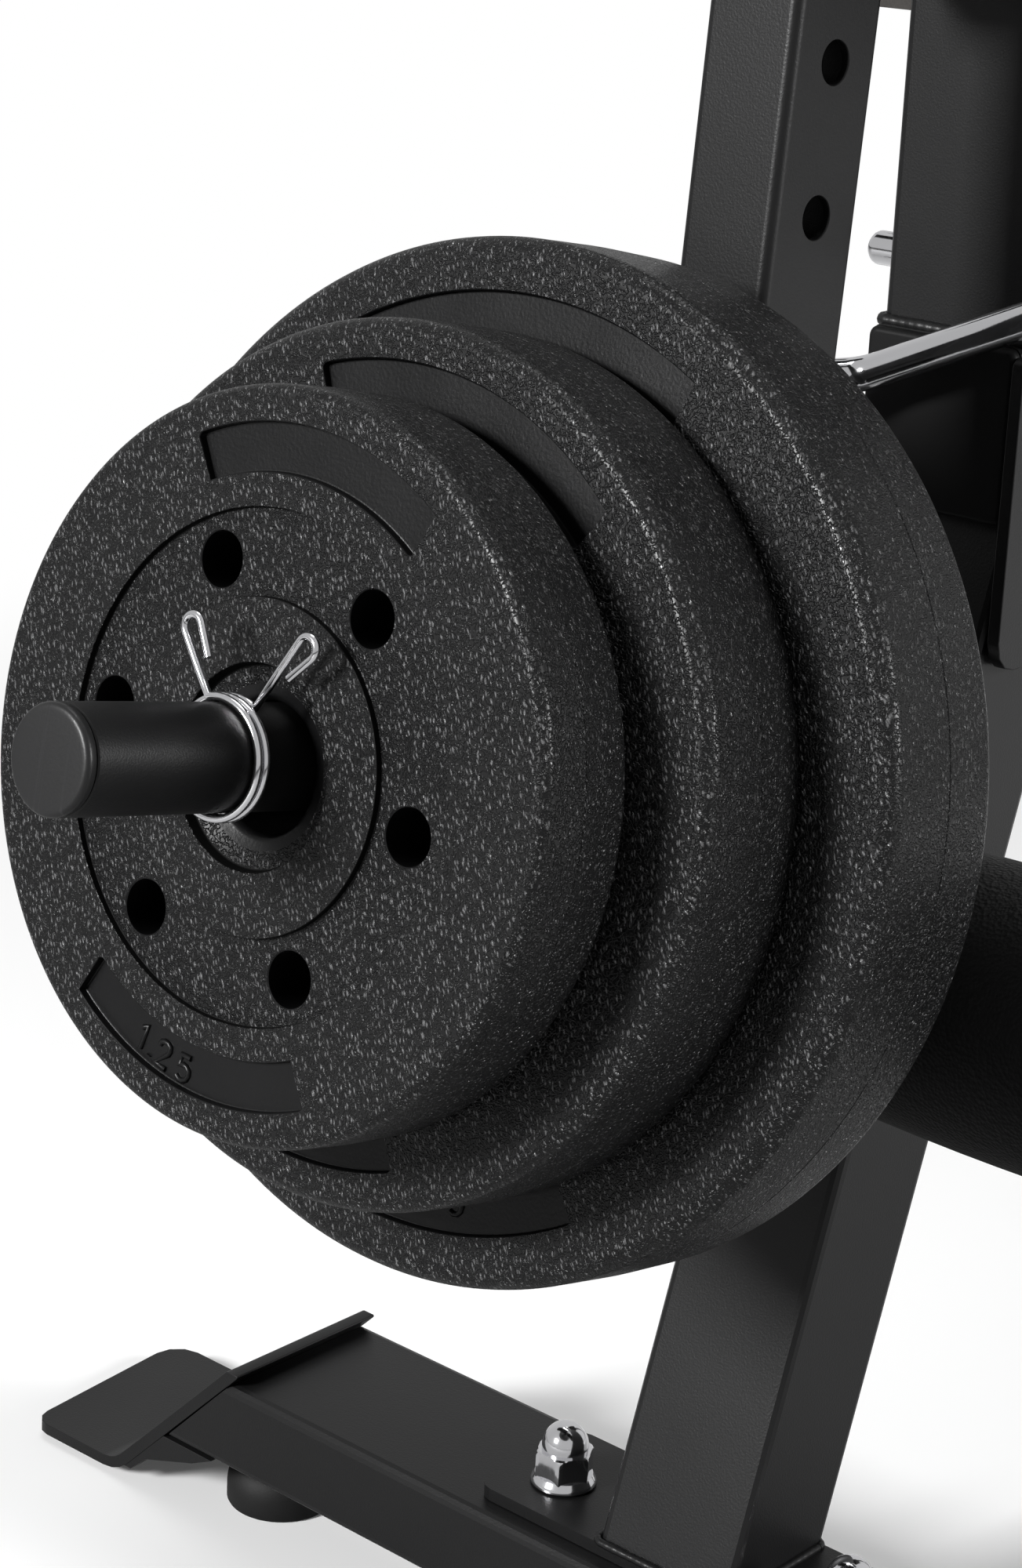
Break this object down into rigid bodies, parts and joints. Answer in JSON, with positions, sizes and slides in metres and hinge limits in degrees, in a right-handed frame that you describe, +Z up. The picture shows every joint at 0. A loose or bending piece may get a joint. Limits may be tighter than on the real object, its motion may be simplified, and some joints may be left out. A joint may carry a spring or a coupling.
{
  "type": "utility bench",
  "caption": "Black tube-frame utility bench with an inclined backrest, foam rollers and a plate-loaded leg lever at the front.",
  "frame": {"origin": "point on the floor under the middle of the bench's length and width", "axes": "+Z up, +Y from the leg lever towards the backrest, +X to the right seen from the front"},
  "size_m": [0.5448, 1.3988, 1.0277],
  "materials": {
    "frame": "satin black powder coat",
    "sleeve": "satin black tube",
    "plate": "black moulded shell with a fine leather grain",
    "plastic": "satin black plastic",
    "rubber": "matt black rubber",
    "foam": "matt black closed-cell foam",
    "vinyl": "grained black vinyl",
    "board": "black stained board",
    "chrome": "polished chrome"
  },
  "bodies": {
    "bench": {"front_base_beam": "frame", "front_foot_plate_left": "frame", "front_foot_plate_right": "frame", "side_gusset_left": "frame", "side_gusset_right": "frame", "front_leg": "frame", "rear_base_beam": "frame", "rear_leg": "frame", "main_beam": "frame", "post_socket": "frame", "inner_post": "frame", "pivot_bracket_left": "frame", "pivot_bracket_right": "frame", "stop_plate": "frame", "upper_roller_axle": "frame", "seat_support_front": "frame", "seat_support_rear": "frame", "backrest_bracket_left": "frame", "backrest_bracket_right": "frame", "front_acorn_nut_left": "chrome", "front_acorn_nut_right": "chrome", "rear_acorn_nut_left": "chrome", "rear_acorn_nut_right": "chrome", "pivot_bolt": "chrome", "hinge_bolt": "chrome", "beam_end_cap_front": "plastic", "beam_end_cap_rear": "plastic", "inner_post_cap": "plastic", "front_rubber_foot_left": "rubber", "front_rubber_foot_right": "rubber", "rear_base_boot_left": "rubber", "rear_base_boot_right": "rubber", "stop_bumper": "rubber", "seat_pad": "vinyl", "seat_board": "board"},
    "lever": {"lever_arm": "frame", "lever_end_cap": "plastic", "lever_top_cap": "plastic", "lower_roller_axle": "frame", "weight_sleeve": "sleeve", "sleeve_end_cap": "plastic", "sleeve_stop_ring": "frame"},
    "lower_foam_left": {"lower_roller_left": "foam", "lower_roller_left_end_ring": "plastic"},
    "lower_foam_right": {"lower_roller_right": "foam", "lower_roller_right_end_ring": "plastic"},
    "upper_foam_left": {"upper_roller_left": "foam", "upper_roller_left_end_ring": "plastic"},
    "upper_foam_right": {"upper_roller_right": "foam", "upper_roller_right_end_ring": "plastic"},
    "plate_large": {"weight_plate_large": "plate"},
    "plate_middle": {"weight_plate_middle": "plate"},
    "plate_small": {"weight_plate_small": "plate"},
    "clip": {"spring_clip": "chrome"},
    "pin": {"lock_pin": "chrome"},
    "backrest": {"backrest_tube": "frame", "backrest_tube_cap": "plastic", "backrest_board": "board", "backrest_pad": "vinyl"},
    "selector": {"selector_pin": "plastic"}
  },
  "joints": [
    {"name": "lever_swing", "type": "hinge", "parent": "bench", "child": "lever", "pos_m": [0, -0.4462, 0.572], "axis": [1, 0, 0], "range_deg": [-100, 0]},
    {"name": "lower_foam_left_spin", "type": "hinge", "parent": "lever", "child": "lower_foam_left", "pos_m": [0, -0.47289, 0.26697], "axis": [1, 0, 0], "continuous": true},
    {"name": "lower_foam_right_spin", "type": "hinge", "parent": "lever", "child": "lower_foam_right", "pos_m": [0, -0.47289, 0.26697], "axis": [1, 0, 0], "continuous": true},
    {"name": "upper_foam_left_spin", "type": "hinge", "parent": "bench", "child": "upper_foam_left", "pos_m": [0, -0.343, 0.582], "axis": [1, 0, 0], "continuous": true},
    {"name": "upper_foam_right_spin", "type": "hinge", "parent": "bench", "child": "upper_foam_right", "pos_m": [0, -0.343, 0.582], "axis": [1, 0, 0], "continuous": true},
    {"name": "plate_large_slide", "type": "slide", "parent": "lever", "child": "plate_large", "axis": [0, -0.9816, 0.1908], "range_m": [0, 0.18]},
    {"name": "plate_middle_slide", "type": "slide", "parent": "plate_large", "child": "plate_middle", "axis": [0, -0.9816, 0.1908], "range_m": [0, 0.135]},
    {"name": "plate_small_slide", "type": "slide", "parent": "plate_middle", "child": "plate_small", "axis": [0, -0.9816, 0.1908], "range_m": [0, 0.1]},
    {"name": "clip_slide", "type": "slide", "parent": "plate_small", "child": "clip", "axis": [0, -0.9816, 0.1908], "range_m": [0, 0.065]},
    {"name": "lock_pin_pull", "type": "slide", "parent": "bench", "child": "pin", "axis": [1, 0, 0], "range_m": [0, 0.1]},
    {"name": "backrest_tilt", "type": "hinge", "parent": "bench", "child": "backrest", "pos_m": [0, 0.037, 0.482], "axis": [1, 0, 0], "range_deg": [-45, 30]},
    {"name": "selector_pull", "type": "slide", "parent": "bench", "child": "selector", "axis": [1, 0, 0], "range_m": [-0.0045, 0.006]}
  ]
}
